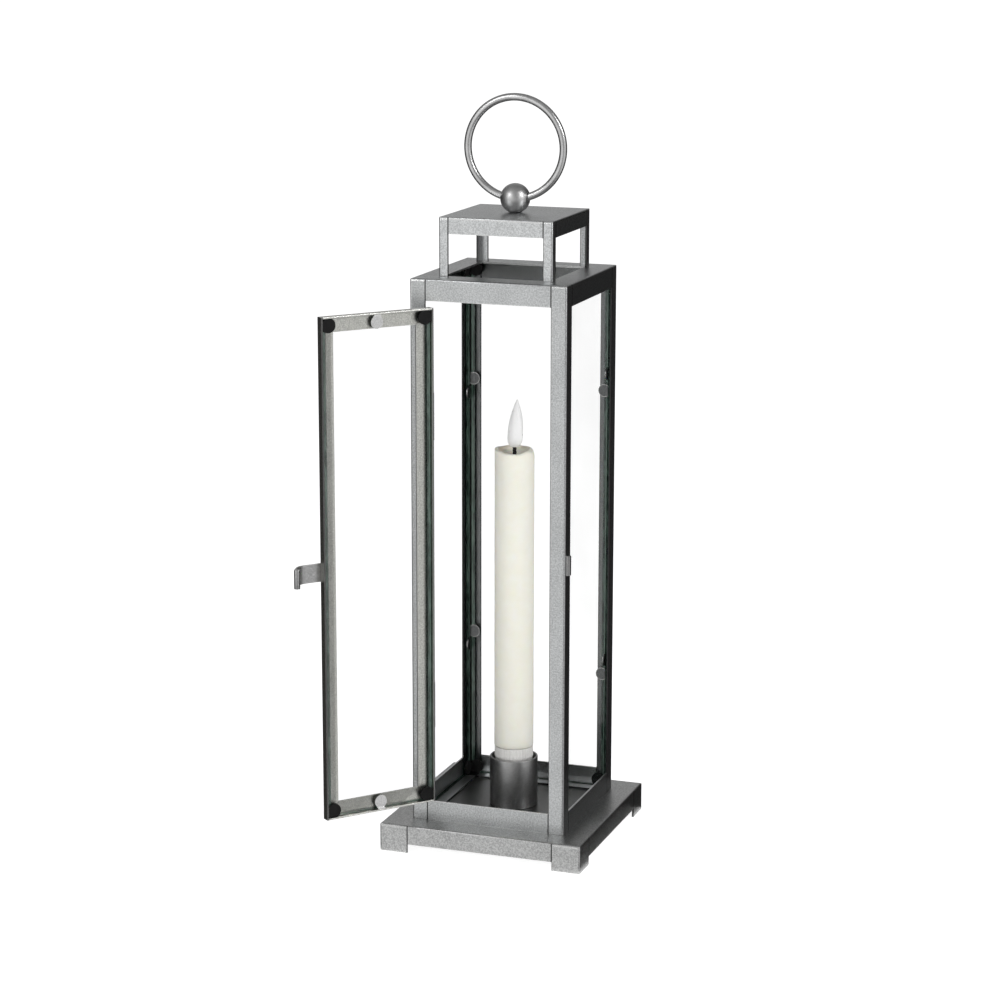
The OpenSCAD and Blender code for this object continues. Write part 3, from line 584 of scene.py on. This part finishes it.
def melted_wax(steps=180):
    """Outer wall, rounded rim, sloping dish and bore. The rim stands at z = top - sag(angle) and its
    shoulder is an ellipse of depth shoulder(angle)."""
    turn = np.linspace(0, 2 * np.pi, steps, endpoint=False)
    level = 0 * turn
    sag = 1.0 + 1.3 * bump_at(turn, -74, 34, 4) + 0.6 * bump_at(turn, -106, 10)
    sag = sag + 0.4 * bump_at(turn, 20, 40) - 0.35 * bump_at(turn, 185, 25) + 0.12 * np.sin(5 * turn + 0.6)
    shoulder = 1.0 + 2.9 * bump_at(turn, 12, 42) + 0.3 * np.sin(3 * turn)
    width = np.minimum(0.9 + 0.35 * (shoulder - 1.0), 1.9)
    top = WAX_HIGH - 0.15 - np.maximum(sag, 0)
    wall = WAX + level
    rows = [(level + WAX_TUBE, level + WAX_LOW), (wall - 0.5, level + WAX_LOW), (wall, level + WAX_LOW + 0.6)]
    for h in np.linspace(WAX_LOW + 4, WAX_HIGH - 9, 40):
        rows.append((wall + 0.05 * np.sin(3 * turn + h / 17) * math.sin(h / 23), level + h))
    for a in np.radians(np.linspace(0, 90, 9)):
        rows.append((wall - width * (1 - math.cos(a)), top - shoulder * (1 - math.sin(a))))
    for a in np.radians(np.linspace(90, 180, 7)[1:]):
        rows.append((wall - width - 0.6 + 0.6 * math.cos(a), top - 0.8 * (1 - math.sin(a))))
    rows.append((wall - width - 1.7, top - 2.0))
    hollow = [(7.0, DISH + 0.3), (3.0, DISH - 0.1), (WICK_HOLE, DISH - 0.2), (WICK_HOLE, WAX_ROOF),
              (WAX_TUBE, WAX_ROOF), (WAX_TUBE, WAX_LOW)]
    rows += [(level + r, level + h) for r, h in hollow]
    radius, height = np.array([r for r, _ in rows]), np.array([h for _, h in rows])
    return np.stack([radius * np.cos(turn), radius * np.sin(turn), height], axis=-1)


add_piece("melted_wax", melted_wax(), ivory_wax, "candle", ["wax_shell"], 60.0)

# %% Wick and flame
def twisted_wick(low, high, radius, strands=3, turns_per_mm=0.16):
    """Cord of strands: r = radius (0.9 + 0.1 cos(strands (angle + twist))), closed at both ends."""
    height = np.concatenate([[low], np.linspace(low, high, 60), [high]])
    turn = np.linspace(0, 2 * np.pi, 36, endpoint=False)
    twist = 2 * np.pi * turns_per_mm * (height - low)
    r = radius * (0.9 + 0.1 * np.cos(strands * (turn[None, :] + twist[:, None])))
    r[0], r[-1] = 0.0005, 0.0005
    return np.stack([r * np.cos(turn), r * np.sin(turn), height[:, None] + 0 * turn], axis=-1)


def leaning_flame(low, tall, widest, foot, lean, belly=0.27):
    """Drop whose radius grows by a fourth power from its foot to its belly and then follows a
    cosine to the power 0.8 to its tip; its centre line leans to +X by the angle."""
    t = np.concatenate([[0.0], np.linspace(0, 1, 70) ** 1.3])
    r = np.where(t < belly, widest / 2 - (widest - foot) / 2 * (1 - t / belly) ** 4,
                 widest / 2 * np.maximum(np.cos(np.pi / 2 * (t - belly) / (1 - belly)), 0) ** 0.8)
    r[0], r[-1] = 0.0005, 0.0005
    turn = np.linspace(0, 2 * np.pi, 64, endpoint=False)
    shift = tall * t * math.tan(math.radians(lean))
    return np.stack([r[:, None] * np.cos(turn) + shift[:, None], r[:, None] * np.sin(turn),
                     low + tall * t[:, None] + 0 * turn], axis=-1)


WICK_LOW, WICK_HIGH, WICK_RADIUS = 226.2, 237.6, 1.2
FLAME_LOW, FLAME_TALL, FLAME_WIDE, FLAME_FOOT, FLAME_LEAN = 235.6, 28.2, 9.0, 5.2, 3.3
add_piece("twisted_wick", twisted_wick(WICK_LOW, WICK_HIGH, WICK_RADIUS), charred,
          "candle", ["wick"], 80.0)
add_piece("leaning_flame", leaning_flame(FLAME_LOW, FLAME_TALL, FLAME_WIDE, FLAME_FOOT, FLAME_LEAN), milky,
          "candle", ["flame"], 80.0)

# %% [markdown]
# ## The studio
# Polished metal shows the room, so the room is drawn for it. The floor is pale paper that runs far
# out. Only a small patch under the lantern shows in the metal; beyond it the metal sees the sky, which
# is white in front and on the right, dimmer behind, and nearly black on the left and behind on the
# right. The dark quarters are what make the side faces of the posts and the door's walls stand out.
# White walls far away close the view behind the lantern, and neither light nor mirror it.
# Two soft boxes give the ball and the cup their pair of highlights.

# %% Floor
def paper(name, half, height, top=None):
    """Near-white matt paper with a faint cloudiness: a flat square so wide at this height, or, with
    a top, the four walls that stand on that square."""
    mesh = bpy.data.meshes.new(name)
    square = np.array([(-1, -1, 0), (1, -1, 0), (1, 1, 0), (-1, 1, 0)]) * (half, half, 0)
    if top:
        corners = np.concatenate([square + (0, 0, height), square + (0, 0, top)])
        faces = [(i, (i + 1) % 4, (i + 1) % 4 + 4, i + 4) for i in range(4)]
    else:
        corners, faces = square + (0, 0, height), [(0, 1, 2, 3)]
    mesh.from_pydata(corners.tolist(), [], faces)
    bench = Bench(name + "_paper")
    mesh.materials.append(bench.surface({
        "Base Color": bench.blend(bench.noise(2.0), grey(0.86), grey(0.89)),
        "Roughness": 0.9,
        "Specular IOR Level": 0.0,
        "Emission Color": (1.0, 1.0, 1.0, 1.0),
        "Emission Strength": 0.80,
    }))
    made = bpy.data.objects.new(name, mesh)
    bpy.context.collection.objects.link(made)
    return made


FAR, FAR_HEIGHT = 60.0, -0.0006
floor_far = paper("floor_far", FAR, FAR_HEIGHT)
floor_far.visible_glossy = False
paper("floor_near", 0.0645, -0.0002)
walls = paper("walls", FAR, FAR_HEIGHT, FAR)
walls.visible_glossy, walls.visible_diffuse, walls.visible_shadow = False, False, False
print("floor and walls laid")

# %% Sky
def sky_patch(bench, toward, low, high):
    """1 where the sky's direction lies within a cone about `toward`, fading out between two cosines."""
    return bench.along(bench.place, Vector(toward).normalized()).ramp(low, high)


sky = Bench("sky", sky=True)
front = sky_patch(sky, (-0.34, -0.93, -0.1), 0.72, 0.97)
wide_front = sky_patch(sky, (-0.35, -0.93, 0.1), 0.0, 0.8)
right = sky_patch(sky, (0.98, -0.2, -0.15), 0.66, 0.94)
back = sky_patch(sky, (-0.33, 0.92, 0.2), 0.7, 0.95)
above = sky_patch(sky, (0.0, 0.0, 1.0), 0.3, 0.9)
dark_back = sky_patch(sky, (0.55, 0.80, -0.25), 0.50, 0.88)
dark_left = sky_patch(sky, (-0.96, 0.22, -0.2), 0.62, 0.92)
glow = front * 0.75 + wide_front * 0.25 + right * 0.85 + back * 0.35 + above * 0.15 + 0.12
glow = glow * (1.0 - dark_back * 0.92) * (1.0 - dark_left * 0.9)
room = sky.node("ShaderNodeBackground", {}, {"Color": (1.0, 1.0, 1.0, 1.0), "Strength": glow})
sky.node("ShaderNodeOutputWorld", {}, {"Surface": room})
bpy.context.scene.world = sky.material
bpy.context.scene.view_settings.view_transform = "Standard"
print("sky drawn with", len(sky.tree.nodes), "nodes")

# %% Soft boxes
MIDDLE = Vector((0.0, 0.0, 0.25))
BOX_AWAY, BOX_HEIGHT, BOX_TALL = 1.8, 1.35, 0.8


def soft_box(name, azimuth, distance, height, wide, tall, watts):
    """A rectangular area lamp at an azimuth in degrees from +X, turned towards the lantern's middle."""
    data = bpy.data.lights.new(name, "AREA")
    data.shape, data.size, data.size_y, data.energy = "RECTANGLE", wide, tall, watts
    lamp = bpy.data.objects.new(name, data)
    bpy.context.collection.objects.link(lamp)
    turn = math.radians(azimuth)
    lamp.location = (distance * math.cos(turn), distance * math.sin(turn), height)
    lamp.rotation_euler = (MIDDLE - lamp.location).to_track_quat("-Z", "Y").to_euler()
    return lamp


boxes = [soft_box("box_left", -122, BOX_AWAY, BOX_HEIGHT, 0.6, BOX_TALL, 8.0),
         soft_box("box_right", -16, BOX_AWAY, BOX_HEIGHT, 0.45, BOX_TALL, 11.0)]
print("soft boxes:", [box.name for box in boxes])
